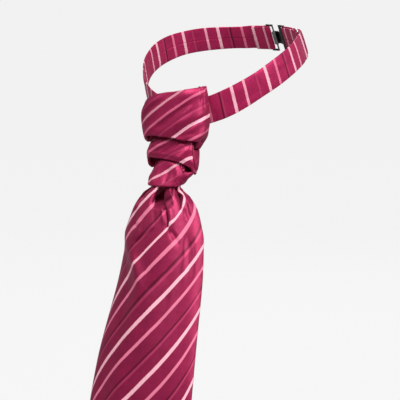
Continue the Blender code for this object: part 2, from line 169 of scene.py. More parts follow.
def silk(name, lift=1.0, brights=1.0, pinks=0.9, darks=0.8, faints=0.6):
    """Striped silk satin: the base is satin, the stripes a duller ribbed weave.

    lift lightens the base as painted light, for pieces of the same cloth that catch more light;
    the others are how clearly each kind of stripe shows, a pair if it differs by turns from
    one repeat to the next.  A pink above 1 is as much whiter.
    """
    n = Nodes(name)
    place, uv = n.place(), n.add("ShaderNodeUVMap", {}, uv_map="cloth")
    across, along = (n.add("ShaderNodeSeparateXYZ", {0: uv}, axis) for axis in (0, 1))

    wander = n.minus(n.noise(n.stretched(uv, 30, 60), 1.0, 1.0), 0.5)
    phase = n.plus(n.math("DIVIDE", across, REPEAT), n.times(wander, STRIPE_WANDER))
    odd = n.math("GREATER_THAN", n.math("FRACT", n.times(n.plus(phase, 0.5), 0.5)), 0.5)
    phase = n.math("FRACT", phase)

    def by_turns(shown):
        even, other = np.broadcast_to(shown, 2).tolist()
        return n.plus(even, n.times(odd, other - even))

    def stripe(centre, half, shown=1.0, soft=0.01):
        gap = n.math("ABSOLUTE", n.minus(phase, centre))
        gap = n.math("MINIMUM", gap, n.minus(1.0, gap))
        return n.spread(gap, half + soft / 2, half - soft / 2, 0.0, shown)

    bright = stripe(*BRIGHT_STRIPE)
    pink = stripe(*PINK_STRIPE, by_turns(np.minimum(pinks, 1.0)))
    dark = stripe(*DARK_LINE, by_turns(darks), 0.024)
    faint = stripe(*FAINT_LINE, faints, 0.026)

    # satin's long floats run along the stripes; their streaks vary its roughness and bump, and mix
    # in a lighter wine as painted sheen
    streaks = n.noise(n.stretched(uv, *STREAKS), 1.0, 2.0, 0.6)
    clouds = n.noise(place, 55.0, 3.0, 0.55)
    # the base's three tones, each multiplied by lift: painted light
    deep, wine, painted_sheen = (
        tuple(lift * c for c in shade[:3]) + (1.0,) for shade in (WINE_DEEP, WINE, WINE_SHEEN_PAINTED)
    )
    colour = n.mix(n.spread(clouds, 0.3, 0.7), deep, wine)
    colour = n.mix(n.spread(streaks, 0.25, 0.8, 0.0, 0.35), colour, painted_sheen)
    colour = n.mix(faint, n.mix(dark, colour, DARK), FAINT)
    # across the stripes' ribs the colour darkens in each trough: painted shade of the ribs, whose
    # relief is also in the bump below
    rib = n.math("SINE", n.times(along, 2 * math.pi / RIB))
    rib_shade = n.plus(0.93, n.times(rib, 0.07))
    bright_colour = n.mix(rib_shade, BRIGHT_RIB_SHADED, BRIGHT)
    pink_colour = n.mix(rib_shade, PINK_RIB_SHADED, PINK)
    whiter = by_turns(np.maximum(pinks, 1.0) - 1.0)
    colour = n.mix(pink, colour, n.mix(whiter, pink_colour, bright_colour))
    colour = n.mix(n.times(bright, by_turns(brights)), colour, bright_colour)

    ribbed = n.math("ADD", bright, pink, clamp=True)
    satin = n.minus(1.0, ribbed)
    rough = n.plus(n.plus(0.36, n.times(streaks, 0.1)), n.times(ribbed, 0.14))

    # twill lines of the satin, ribs on the stripes and a trace of slub
    diagonal = n.plus(across, n.times(along, 0.45))
    twill = n.times(n.math("SINE", n.times(diagonal, 2 * math.pi / TWILL)), satin)
    weave = n.plus(n.times(twill, 0.35), n.times(streaks, 0.8))
    weave = n.plus(weave, n.times(ribbed, n.plus(1.2, n.times(rib, 0.9))))
    crumple = n.bump(n.noise(place, 170.0), 0.5 * MM, 0.35)
    return n.surface({
        "Base Color": colour,
        "Roughness": rough,
        "Metallic": n.times(satin, 0.42),
        "Normal": n.bump(weave, 0.06 * MM, 0.3, Normal=crumple),
        "Specular IOR Level": 0.55,
        "Specular Tint": (1.0, 0.62, 0.76, 1.0),
        "Sheen Weight": 0.12,
        "Sheen Roughness": 0.45,
        "Sheen Tint": (1.0, 0.45, 0.66, 1.0),
        "Anisotropic": 0.45,
    })


def dark_metal():
    """Gunmetal-plated wire and plate, rubbed bright along its edges."""
    n = Nodes("dark_metal_plated")
    place = n.place()
    cloud = n.noise(place, 240.0, 3.0, 0.6)
    brushed = n.noise(n.stretched(place, 300, 300, 2600), 1.0, 2.0, 0.6)
    shade = n.spread(cloud, 0.3, 0.75)
    colour = n.mix(shade, (0.06, 0.056, 0.06, 1.0), (0.115, 0.108, 0.112, 1.0))
    edges = n.add("ShaderNodeNewGeometry", {}, "Pointiness")
    rubbed = n.times(n.spread(edges, 0.52, 0.6), n.spread(cloud, 0.3, 0.6, 0.3))
    return n.surface({
        "Base Color": n.mix(rubbed, colour, (0.42, 0.4, 0.4, 1.0)),
        "Roughness": n.plus(0.24, n.times(brushed, 0.22)),
        "Normal": n.bump(brushed, 0.03 * MM, 0.4),
        "Metallic": 1.0,
    })


def thread():
    """Twisted sewing thread of the cloth's own colour."""
    n = Nodes("wine_thread")
    twist = n.noise(n.stretched(n.place(), 2200, 2200, 900), 1.0, 1.0)
    return n.surface({
        "Base Color": n.mix(twist, (0.16, 0.006, 0.034, 1.0), (0.34, 0.016, 0.085, 1.0)),
        "Normal": n.bump(twist, 0.05 * MM, 0.5),
        "Roughness": 0.6,
        "Sheen Weight": 0.2,
    })


# ---- camera, stage and light

AZIMUTH, ELEVATION, DISTANCE = 33, 8, 1.3
LENS, SENSOR = 144.09, 36.0
VIEW_LEFT, VIEW_DOWN = 0.01927, 0.102  # the middle of the view, from the origin

# name, azimuth, elevation, distance, sides, watts, colour; the angles are as the camera's
LIGHTS = (
    ("key", 84, 25, 1.5, (0.9, 0.9), 19, (1.0, 0.985, 0.97)),
    ("front", 8, 48, 2.0, (1.2, 1.0), 38, (1.0, 0.99, 0.98)),
    ("rim", 205, 28, 1.6, (0.9, 0.9), 9, (1.0, 1.0, 1.0)),
)
LIT_POINT = Vector((0.0, -0.08, -0.12))
SKY_STRENGTH = 0.24

FLOOR_BELOW = 0.045  # the cravat is shown as worn, so its tip hangs clear of the floor
FLOOR_RADIUS, SWEEP, WALL_TOP = 3.0, 1.6, 5.0
STAGE_TURNS = 96


def towards(azimuth, elevation):
    """The way from the cravat to a camera or a light at these angles."""
    a, e = math.radians(azimuth), math.radians(elevation)
    return Vector((math.sin(a) * math.cos(e), -math.cos(a) * math.cos(e), math.sin(e)))


def make_camera():
    data = bpy.data.cameras.new("camera")
    data.sensor_width, data.lens = SENSOR, LENS
    data.clip_start, data.clip_end = 0.05, 60.0
    back, turn = towards(AZIMUTH, ELEVATION), math.radians(AZIMUTH)
    right = Vector((math.cos(turn), math.sin(turn), 0.0))
    up = back.cross(right)
    made = linked("camera", data)
    made.location = back * DISTANCE - right * VIEW_LEFT - up * VIEW_DOWN
    made.rotation_euler = Matrix((right, up, back)).transposed().to_euler()
    scene.camera = made


def make_lights():
    for name, azimuth, elevation, distance, sides, watts, colour in LIGHTS:
        data = bpy.data.lights.new(name, "AREA")
        data.shape = "RECTANGLE"
        data.size, data.size_y = sides
        data.energy, data.color = watts, colour
        away = towards(azimuth, elevation)
        made = linked(name, data)
        made.location = LIT_POINT + away * distance
        made.rotation_euler = (-away).to_track_quat("-Z", "Y").to_euler()
        made.visible_camera = False
    world = bpy.data.worlds.new("studio")
    world.use_nodes = True
    sky = world.node_tree.nodes["Background"]
    sky.inputs["Color"].default_value = (1.0, 1.0, 1.0, 1.0)
    sky.inputs["Strength"].default_value = SKY_STRENGTH
    scene.world = world
    scene.view_settings.view_transform = "Standard"


def make_stage():
    """A pale floor that sweeps up into a pale wall all round."""
    bend = [
        (FLOOR_RADIUS + SWEEP * math.sin(t), SWEEP * (1 - math.cos(t)))
        for t in np.linspace(0.1, math.pi / 2, 14)
    ]
    profile = [(FLOOR_RADIUS, 0.0), *bend, (FLOOR_RADIUS + SWEEP, WALL_TOP)]
    turns, floor = STAGE_TURNS, cad_low[2] - FLOOR_BELOW
    points = [
        (radius * math.cos(a), radius * math.sin(a), floor + height)
        for radius, height in profile
        for a in np.arange(turns) * 2 * math.pi / turns
    ]
    faces = [tuple(range(turns))]
    for ring in range(0, turns * (len(profile) - 1), turns):
        for a, b in zip(range(turns), (*range(1, turns), 0)):
            faces.append((ring + a, ring + turns + a, ring + turns + b, ring + b))
    pale = Nodes("stage_pale").surface({
        "Base Color": (0.04, 0.04, 0.04, 1.0),
        "Roughness": 0.9,
        "Specular IOR Level": 0.1,
        "Emission Color": (1.0, 1.0, 1.0, 1.0),
        "Emission Strength": 0.87,
    })
    made = meshed("stage_floor", points, faces, pale)
    made.visible_glossy = made.visible_diffuse = made.visible_shadow = False


# ---- shared geometry


def ease(t):
    """0 to 1, slow at both ends."""
    t = np.clip(t, 0.0, 1.0)
    return t * t * (3.0 - 2.0 * t)


def hill(x, half_width):
    return np.exp(-((x / half_width) ** 2))


def table(rows, key=MM):
    """The columns of a table in metres; key is the unit of the first one."""
    first, *others = np.array(rows, float).T
    return first * key, [column * MM for column in others]


def through(x, xs, ys):
    """A smooth curve through the points of a short table, at x (monotone cubic)."""
    x, xs, ys = (np.asarray(values, float) for values in (x, xs, ys))
    if xs[0] > xs[-1]:
        xs, ys = xs[::-1], ys[::-1]
    x = np.clip(x, xs[0], xs[-1])
    step = np.diff(xs)
    slope = np.diff(ys) / step
    inner = [2 * a * b / (a + b) if a * b > 0 else 0.0 for a, b in zip(slope, slope[1:])]
    rate = np.array([slope[0], *inner, slope[-1]])
    i = np.clip(np.searchsorted(xs, x, side="right") - 1, 0, len(xs) - 2)
    t = (x - xs[i]) / step[i]
    bend = t * (1 - t) * (rate[i] * (1 - t) - rate[i + 1] * t)
    return ys[i] + (ys[i + 1] - ys[i]) * ease(t) + step[i] * bend


def at(columns, value):
    """The other columns of a table, read at a value of its first."""
    return [through(value, columns[0], column) for column in columns[1]]


def unit(vectors):
    size = np.linalg.norm(vectors, axis=-1, keepdims=True)
    return vectors / np.maximum(size, 1e-12)


def run_along(points, axis=0):
    """The length along lines of points up to each of them."""
    step = np.linalg.norm(np.diff(points, axis=axis), axis=-1)
    start = np.zeros_like(np.take(step, [0], axis))
    return np.concatenate([start, np.cumsum(step, axis=axis)], axis)


def smooth_line(points):
    """A polyline through a few points, rounded between them."""
    points = np.asarray(points, float)
    reach = run_along(points)
    wanted = np.linspace(0, reach[-1], 28)
    i = np.clip(np.searchsorted(reach, wanted, side="right") - 1, 0, len(points) - 2)
    t = ((wanted - reach[i]) / np.diff(reach)[i])[:, None]
    padded = np.vstack([2 * points[0] - points[1], points, 2 * points[-1] - points[-2]])
    a, b, c, d = (padded[i + k] for k in range(4))
    return 0.5 * (
        2 * b + (c - a) * t + (2 * a - 5 * b + 4 * c - d) * t**2 + (3 * b - a - 3 * c + d) * t**3
    )


def nearest(x, y, line):
    """Distance to a line, side of it, share of its length run, and the way leftward."""
    line = smooth_line(line)
    dx, dy = np.diff(line, axis=0).T
    px, py = x[..., None] - line[:-1, 0], y[..., None] - line[:-1, 1]
    t = np.clip((px * dx + py * dy) / (dx * dx + dy * dy), 0.0, 1.0)
    px, py = px - t * dx, py - t * dy
    gap = np.hypot(px, py)
    k = np.argmin(gap, axis=-1)
    gap, side, run = (
        np.take_along_axis(field, k[..., None], -1)[..., 0]
        for field in (gap, np.sign(dx * py - dy * px), t + np.arange(len(dx)))
    )
    return gap, side, run / len(dx), (np.array([-dy, dx]) / np.hypot(dx, dy))[:, k]


def faded(run, fade):
    """How much of a crease is there at each share of its length; fade as in crease."""
    return ease(run / fade[0]) * ease((1 - run) / fade[1])


def crease(x, y, line, depth, width, fade=(0.3, 0.4), lean=0.0, crisp=0.0):
    """How far a soft crease moves the points (x, y), all in mm; depth below 0 is a trough.

    line is where it runs, width one number or one for each end, fade the shares of its
    length over which it comes and goes, lean how much higher one side is than the other,
    and crisp 0 for a round crease to 1 for a pressed one.
    """
    gap, side, run, _ = nearest(x, y, line)
    first, last = np.broadcast_to(width, 2)
    d = gap / (first + (last - first) * run)
    shape = (1 - crisp) * hill(d, 1) + crisp * np.exp(-1.7 * d)
    shape += lean * side * 1.6 * d * hill(d, 1)
    return depth * shape * faded(run, fade)


def creased(x, y, creases):
    """The sum of a list of creases, in metres."""
    return sum(crease(x, y, *made) for made in creases) * MM


def tuck(x, y, line, over, back, front, width, fade):
    """A fold that lies over the cloth beside it: moves along x and y, and outward, in mm.

    With y and the line going down, over above 0 lays the right side over the left as far as
    the line; back is how deep the cloth beneath falls, front how far the fold stands out,
    width how round it is.  The fourth result is how near the fold is.
    """
    gap, side, run, left = nearest(x, y, line)
    come = faded(run, fade)
    turn = math.copysign(1.0, over)
    s = -gap * side * turn
    centre = 0.3 * width + 0.914 * abs(over) * come
    along_x, along_y = abs(over) * come * hill(s - centre, width) * turn * left
    out = front * hill(s - centre - 0.5 * width, 1.6 * width)
    out -= back * hill(s - centre + 1.3 * width, 0.95 * width)
    return along_x, along_y, out * come, hill(s, 2.5 * width) * come


def grid_normals(grid):
    return unit(np.cross(np.gradient(grid, axis=1), np.gradient(grid, axis=0)))


def front_normals(grid):
    """A grid's normals, on the face that its lower rows show to the front."""
    normal = grid_normals(grid)
    return -normal if np.mean(normal[-20:, grid.shape[1] // 2, 1]) > 0 else normal


def relaxed(grid):
    """The grid with its sharpest kinks eased, its border kept."""
    for _ in range(3):
        around = (grid[:-2, 1:-1] + grid[2:, 1:-1] + grid[1:-1, :-2] + grid[1:-1, 2:]) / 4
        grid = grid.copy()
        grid[1:-1, 1:-1] += 0.5 * (around - grid[1:-1, 1:-1])
    return grid


RIM = 3  # rows of points round the edge of a cloth


def cloth(name, middle, thickness, surface, uv, folded=None):
    """A closed thin shell of cloth round a grid of middle points, with rounded edges.

    uv gives each grid point's place on the flat cloth.  folded is for cloth that goes round
    to its other face and meets there: the column they meet at and the two halves' maps.
    """
    rows, columns = middle.shape[:2]
    total = rows * columns
    normal = grid_normals(middle)
    half = np.broadcast_to(thickness, (rows, columns))[..., None] / 2
    index = np.arange(total).reshape(rows, columns)
    ring = np.concatenate([index[0], index[1:, -1], index[-1, -2::-1], index[-2:0:-1, 0]])
    away = np.zeros_like(middle)
    away[0] += middle[0] - middle[1]
    away[-1] += middle[-1] - middle[-2]
    away[:, 0] += middle[:, 0] - middle[:, 1]
    away[:, -1] += middle[:, -1] - middle[:, -2]
    centre, out, radius, away = (
        field.reshape(total, -1)[ring] for field in (middle, normal, half, away)
    )
    away = unit(away)
    points = [(middle + normal * half).reshape(-1, 3), (middle - normal * half).reshape(-1, 3)]
    for t in np.linspace(0, math.pi, RIM + 2)[1:-1]:
        points.append(centre + out * radius * math.cos(t) + away * radius * math.sin(t))

    a, b = index[:-1, :-1].ravel(), index[1:, :-1].ravel()
    c, d = index[1:, 1:].ravel(), index[:-1, 1:].ravel()
    quads = [np.stack([a, b, c, d], 1), np.stack([a, d, c, b], 1) + total]
    around = 2 * total + np.arange(len(ring) * RIM).reshape(RIM, -1)
    chain = [ring, *around, ring + total]
    for low, high in zip(chain, chain[1:]):
        quads.append(np.stack([low, high, np.roll(high, -1), np.roll(low, -1)], 1))
    corners = np.concatenate(quads)[:, ::-1]
    made = meshed(name, np.concatenate(points).tolist(), corners.tolist(), surface)

    flat = uv.reshape(-1, 2)
    mapped = np.concatenate([flat, flat, *[flat[ring]] * RIM])[corners]
    if folded is not None:
        column, *maps = folded
        outer = corners[: len(a)]
        before = (np.arange(len(a)) % (columns - 1) < column)[:, None, None]
        mapped[: len(a)] = np.where(before, *(side.reshape(-1, 2)[outer] for side in maps))
    layer = made.data.uv_layers.new(name="cloth")
    layer.data.foreach_set("uv", mapped.reshape(-1).astype(np.float32))
    return made


def dress(made, node, slot, flat, held, rests_on, **more):
    """Hides the CAD node that a finished piece of cloth stands for and attaches the piece to the
    root.
    """
    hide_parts(node)
    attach(made, "root")


STITCH_RADIUS = 0.2 * MM
STITCH_SIDES, STITCH_STEPS = 6, 6


def stitches(name, spans, surface):
    """Short threads, each bowed out of the cloth between its two ends."""
    points, faces = [], []
    turn = np.arange(STITCH_SIDES)[:, None] * 2 * math.pi / STITCH_SIDES
    for start, end, out in np.array(spans, float):
        ahead = unit(end - start)
        out = unit(out - ahead * (out @ ahead))
        beside = np.cross(ahead, out)
        ring = np.arange(STITCH_SIDES) + len(points)
        faces.append(ring[::-1].tolist())
        for k in range(STITCH_STEPS + 1):
            swell = math.sin(math.pi * k / STITCH_STEPS)
            size = STITCH_RADIUS * (0.4 + 0.6 * math.sqrt(swell))
            centre = start + (end - start) * k / STITCH_STEPS
            centre += out * STITCH_RADIUS * (1.1 * swell - 0.3)
            points += (centre + size * (out * np.cos(turn) + beside * np.sin(turn))).tolist()
            if k:
                before, ring = ring, ring + STITCH_SIDES
                corners = (np.roll(before, 1), before, ring, np.roll(ring, 1))
                faces += np.stack(corners, 1).tolist()
        faces.append(ring.tolist())
    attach(meshed(name, points, faces, surface), "root")


# ---- neckband

LOOP_HALF_WIDTH = 64 * MM
LOOP_HALF_DEPTH = 67.9 * MM
LOOP_EGG = 0.07
LOOP_TILT = math.radians(24.1)
SIDE_LIFT = 13.1 * MM
LOOP_TAPER = 0.096
BAND_WIDTH = 21.1 * MM
BAND_THICKNESS = 1.4 * MM
GAP = 0.3 * MM
METAL = 1 * MM
SLIDER_AT = 149 * MM
SLIDER_BAR = 1.6 * MM
SLIDER_PITCH = 6.3 * MM
HOOK_AT = 183 * MM
EYE_FAR_BAR_AT = 203 * MM
FASTENING_LIFT = 0.85 * MM
TURNED_END = 14 * MM
TURNED_INSIDE = 0.6 * MM
CLEAR = METAL / 2 + GAP + BAND_THICKNESS / 2
LAYERS = BAND_THICKNESS + GAP
INNER, OUTER = FASTENING_LIFT - CLEAR, FASTENING_LIFT + CLEAR


def loop_point(angle, up, out):
    """A point of the neck loop: angle from the front, height on the band, distance outward."""
    s, c = np.sin(angle), np.cos(angle)
    x = (LOOP_HALF_WIDTH - LOOP_TAPER * up) * s * (1 - LOOP_EGG * c)
    y = -(LOOP_HALF_DEPTH - LOOP_TAPER * up) * c
    z = up + SIDE_LIFT * s * s
    away_x, away_y = s / LOOP_HALF_WIDTH, -c / LOOP_HALF_DEPTH
    size = np.hypot(away_x, away_y)
    x, y = x + out * away_x / size, y + out * away_y / size
    ct, st = math.cos(LOOP_TILT), math.sin(LOOP_TILT)
    return np.stack(np.broadcast_arrays(x, y * ct - z * st, y * st + z * ct), -1)


LOOP_ANGLES = np.linspace(0.0, 2 * math.pi, 1441)
LOOP_LENGTHS = run_along(loop_point(LOOP_ANGLES, 0.0, 0.0))
LOOP_LENGTH = LOOP_LENGTHS[-1]


def along_band(along, up, out):
    """A point of the neck loop, its length from the front in place of the angle."""
    return loop_point(np.interp(along, LOOP_LENGTHS, LOOP_ANGLES), up, out)


def eased_path(step, *keys):
    """Points (along, out) that ease from key to key, about a step apart."""
    path = []
    for (a, low), (b, high) in zip(keys, keys[1:]):
        count = max(2, round(abs(b - a) / step))
        for t in np.arange(count) / count:
            path.append((a + (b - a) * t, low + (high - low) * (1 - math.cos(math.pi * t)) / 2))
    return path + [keys[-1]]


def half_turn(along, finish):
    """Round the far bar of a fastening, from its inner side to the outer one."""
    angles = np.radians(np.linspace(-90, finish, 17)[1:-1])
    return [(along + CLEAR * math.cos(a), FASTENING_LIFT + CLEAR * math.sin(a)) for a in angles]


def left_path():
    """(along, out) down the whole of the left strap: to the hook, round it and back."""
    turn_at, slack_to = HOOK_AT + GAP, SLIDER_AT + 2.2 * SLIDER_PITCH
    before, near, far = (SLIDER_AT + k * SLIDER_PITCH for k in (-2, -1, 1))
    middle_bar = [(near, CLEAR), (SLIDER_AT, -CLEAR), (far, CLEAR), (slack_to, INNER)]
    path = eased_path(0.8 * MM, (GAP / 2, 0.0), (before, 0.0))[:-1]
    path += eased_path(0.55 * MM, (before, 0.0), *middle_bar)[:-1]
    path += eased_path(0.9 * MM, (slack_to, INNER), (turn_at, INNER))
    path += half_turn(turn_at, 90)
    back = [(turn_at, OUTER), (slack_to, OUTER), (far, CLEAR + LAYERS)]
    return np.array(path + eased_path(0.9 * MM, *back, (SLIDER_AT - SLIDER_BAR / 2, CLEAR)))


def right_path():
    """The same down the right strap, from its turned end round the eye to the front."""
    turn_at, end = EYE_FAR_BAR_AT - GAP, EYE_FAR_BAR_AT + TURNED_END
    under, over = -TURNED_INSIDE, LAYERS - TURNED_INSIDE
    level = end + 12 * MM
    path = eased_path(0.8 * MM, (end, under), (turn_at + 4 * MM, under), (turn_at, INNER))
    path += half_turn(turn_at, -270)
    back = [(turn_at, OUTER), (turn_at + 5 * MM, over), (end + 2 * MM, over), (level, 0.0)]
    path += eased_path(0.8 * MM, *back)[:-1]
    return np.array(path + eased_path(0.8 * MM, (level, 0.0), (LOOP_LENGTH - GAP / 2, 0.0)))


# where the first bright stripe crosses the band, and how far on the next one is, in mm
BAND_FIRST, BAND_REPEAT = 13.5, 31.5
SEAM_LINES = (-0.085, -0.045, -0.02, 0.02, 0.045, 0.085)  # closer points about the seam


def strap_form(path, creases, shift):
    """A strap of folded silk: pressed edges, a little slack, a flat seam down its inside.

    Gives its grid, the mm run along it and up it at each point, and its thickness; shift
    sets its slack apart from the other strap's.
    """
    lines = np.sort([*np.sin(np.linspace(-1, 1, 25) * math.pi / 2), *SEAM_LINES])
    ahead, rise = unit(np.gradient(path, axis=0)).T[..., None]
    runs, ups = np.meshgrid(run_along(path) / MM, lines * BAND_WIDTH / 2 / MM, indexing="ij")
    # the pressed edges wander a fraction of a millimetre
    wander = 0.22 * np.sin(runs / 17.0 + 0.6 * shift) + 0.16 * np.sin(runs / 7.3 + 1.9 + shift)
    ups = ups + wander * np.sign(lines) * np.abs(lines) ** 3
    puff = 0.22 * np.sin(runs / 9.1 + shift) * np.cos(lines * 2.2)
    puff += 0.1 * np.sin(runs / 3.7 + 2 * lines + shift)
    # inside, one edge of the folded silk is felled over the other
    seam = 0.16 * ease(lines / 0.05) * np.exp(-np.maximum(lines, 0) / 0.35)
    seam = (seam - 0.22 * hill(lines, 0.045)) * MM
    thickness = BAND_THICKNESS * (0.5 + 0.5 * np.abs(1 - lines**6)) + seam
    relief = creased(runs, ups, creases) + puff * MM * 0.55 - seam / 2
    along, out = path.T[..., None] + relief * np.stack([-rise, ahead])
    return along_band(along, ups * MM, out), runs, ups, np.broadcast_to(thickness, runs.shape)


def row_across(grid, thickness, row, starts, length):
    """Ends of the stitches of a row across a strap, on the face away from the neck."""
    normal = grid_normals(grid)[row]
    away = grid[row] * (1, 1, 0)
    normal = normal * np.sign(np.sum(normal * away, axis=1))[:, None]
    face = grid[row] + normal * thickness[row][:, None] / 2
    reach = run_along(face) / MM

    def on(place, field):
        return [np.interp(place, reach, field[:, axis]) for axis in range(3)]

    return [(on(a, face), on(a + length, face), on(a, normal)) for a in starts]


LEFT_CREASES = [
    # beside the knot the band is pinched and puckered
    ([(20, 11), (21.5, 4), (20.5, -2)], -0.55, 1.1, (0.1, 0.6), 0, 0.5),
    ([(17, 9), (18.5, 0), (17.5, -9)], 0.45, 2.2, (0.2, 0.4)),
    ([(27, -11), (28, -4), (31, 3)], -0.35, 1.8, (0.1, 0.6)),
    ([(34, 11), (34.6, 6), (33.5, 0)], -0.4, 1, (0.1, 0.6), 0, 0.6),
    ([(38, 8), (52, 5), (63, 7)], 0.28, 2.6, (0.4, 0.4)),
    ([(44, -6), (60, -4), (74, -7)], -0.25, 2.4, (0.4, 0.4)),
    ([(66, 10), (68, 2), (72, -8)], -0.28, 2),
    ([(82, 6), (96, 3), (109, 6)], 0.25, 2.8, (0.4, 0.3)),
    ([(97, 11), (97.6, 0), (97, -11)], -0.22, 0.8, (0.1, 0.1), 0, 0.5),
    ([(118, -7), (128, -2), (134, 5)], -0.3, 2.2, (0.4, 0.4)),
]

RIGHT_CREASES = [
    ([(206, 11), (205, 3), (206, -6)], -0.45, 1.3, (0.1, 0.5), 0, 0.4),
    ([(196, -10), (194, -2), (195, 7)], -0.35, 1.6, (0.2, 0.4)),
    ([(150, 6), (168, 3), (186, 7)], 0.28, 2.6, (0.4, 0.4)),
    ([(120, -5), (140, -7), (156, -4)], -0.26, 2.4, (0.4, 0.4)),
    ([(98, 8), (104, 0), (106, -9)], -0.3, 1.8),
    ([(60, 5), (76, 2), (92, 6)], 0.24, 2.8, (0.4, 0.3)),
    ([(46, -8), (52, 0), (53, 9)], -0.26, 1.9),
]


def make_straps(surface, sewing):
    left, right = left_path(), right_path()
    # the return is sewn down at the slider's bar, the turned end behind the eye
    behind_eye = np.abs(right[:, 0] - EYE_FAR_BAR_AT - 10.5 * MM) + (right[:, 1] < 0.8 * MM)
    straps = (
        ("left", "hook", left, LEFT_CREASES, 0.0,
         len(left) - 5, (1.6, 4.5, 7.2, 10.1, 13.1, 16.0), 1.7),
        ("right", "eye", right, RIGHT_CREASES, 2.1,
         int(np.argmin(behind_eye)), (1.9, 4.7, 7.7, 10.4, 13.5, 16.4), 1.6),
    )
    spans = []
    for hand, rests_on, path, creases, shift, *sewn in straps:
        grid, runs, ups, thickness = strap_form(path, creases, shift)
        spans += row_across(grid, thickness, *sewn)
        length = runs[-1, 0]
        phase = (runs if hand == "left" else 2 * BAND_FIRST - (length - runs)) - BAND_FIRST
        uv = np.stack([phase / BAND_REPEAT * REPEAT, ups * MM], -1)
        made = cloth("strap_" + hand, grid, thickness, surface, uv)
        flat = (round(BAND_WIDTH, 4), round(float(length) * MM, 3))
        dress(made, "neckband_" + hand, "band_silk", flat, "stretched", rests_on)
    stitches("band_stitches", spans, sewing)


# ---- knot

# height, back, middle and half width of the strip behind the knot
BACKING = table([
    (-14, -68.2, 0, 12), (-28, -63.3, 0, 12), (-38, -60.3, 0, 12),
    (-50, -60.6, -0.5, 12), (-62, -63, -1.5, 10.5), (-74, -66.5, -3, 8),
    (-86, -71, -4, 6.5),
])
BACKING_CURVE = 7.8

# height, right, left, front and back of each fold
TOP_SECTIONS = table([
    (-4, -25.5, 28, -83, -56), (-12, -27.5, 28.5, -85.2, -56), (-20, -28.5, 29, -86.2, -56),
    (-32, -29.3, 29.8, -86.8, -56), (-42, -27.5, 28.5, -86.8, -56), (-50, -25, 25.5, -86.3, -57),
    (-58, -23, 23.5, -85.5, -58),
])
MIDDLE_SECTIONS = table([
    (-42, -19, 19, -80.5, -60), (-50, -21.7, 20.5, -82.6, -60), (-58, -24.5, 20.8, -83.8, -60),
    (-66, -24.5, 21.2, -84.2, -61.5), (-76, -22.5, 21, -84, -63.5),
])
BOTTOM_SECTIONS = table([
    (-56, -17.5, 17.3, -79, -62.5), (-64, -19, 18.6, -80.8, -64), (-72, -20, 18.6, -82.8, -66),
    (-77, -19.8, 14.5, -85, -68.5), (-82, -19.2, 10.6, -87.2, -71),
])

# side, upper and lower edge of each
TOP_EDGES = table([
    (-1, -31, -44), (-0.6, -29, -49.3), (-0.42, -22.5, -46), (-0.28, -16, -43.5),
    (-0.1, -11.5, -42.5), (0.2, -7.5, -44.7), (0.36, -6.2, -45.6), (0.48, -5.5, -46.6),
    (0.56, -5.5, -50.5), (0.63, -5.5, -54), (0.75, -6, -54.5), (0.85, -7, -54), (1, -9, -51),
], key=1.0)
MIDDLE_EDGES = table([
    (-1, -44, -64), (-0.65, -43, -69.5), (-0.45, -42.5, -63), (-0.3, -42, -60), (-0.1, -42, -60),
    (0.2, -43, -62.5), (0.45, -45.5, -67.3), (0.5, -52, -68.3), (0.54, -53.8, -69.1),
    (0.6, -54.7, -70.2), (0.69, -54.7, -72), (0.77, -52, -73), (0.84, -47, -72), (1, -46, -69),
], key=1.0)
BOTTOM_EDGES = table([
    (-1, -60, -80), (-0.5, -57, -81.5), (0, -57, -81.3), (0.17, -59, -81.4), (0.23, -65, -81.4),
    (0.27, -70.7, -81.4), (0.39, -71.8, -81.5), (0.54, -72, -81.5), (0.64, -72.6, -81.3),
    (0.7, -69, -81.1), (0.78, -64, -81), (1, -64, -80.5),
], key=1.0)

SQUARENESS = 2.35
SIDE_OF_BACKING = 1.6 * MM
CAD_ROUNDING = 0.49 * MM


def fold_point(sections, side, height):
    """A point of a fold's outer face: side -1 to 1 goes round its front from the right."""
    right, left, front, back = at(sections, height)
    limit, strip_middle, strip_half = at(BACKING, height)
    half, deep = (left - right) / 2, (back - front) / 2
    middle, centre = (left + right) / 2, (front + back) / 2
    clear = strip_half + GAP + 2 * CAD_ROUNDING
    reach = (clear + np.sign(side) * (strip_middle - middle)) / half
    angle = side * (math.pi - np.arcsin(np.clip(reach, 0, 1) ** (SQUARENESS / 2)))
    sine, cosine = np.sin(angle), np.cos(angle)
    x = middle + half * np.sign(sine) * np.abs(sine) ** (2 / SQUARENESS)
    y = centre - deep * np.sign(cosine) * np.abs(cosine) ** (2 / SQUARENESS)
    limit = limit + BACKING_CURVE * x * x
    y = limit - SIDE_OF_BACKING * np.logaddexp(0.0, (limit - y) / SIDE_OF_BACKING)
    return np.stack(np.broadcast_arrays(x, y, height), -1)


SILK = 0.9 * MM  # one layer of the knot: silk on its stiffening
TURN = SILK / 2 + 0.28 * MM  # radius of a soft fold
TURN_ANGLES = np.radians((30, 60, 90, 120, 150, 180))
FOLD_ROWS, RETURN_ROWS = 95, 12


def inward_roll(side, down, upper_roll, lower_roll):
    """How far a fold's upper and lower edges sink into the knot, less so at its sides."""
    roll = upper_roll * (1 - ease(down / 0.16)) + lower_roll * ease((down - 0.8) / 0.2)
    return roll * MM * (1 - ease((np.abs(side) - 0.65) / 0.2))


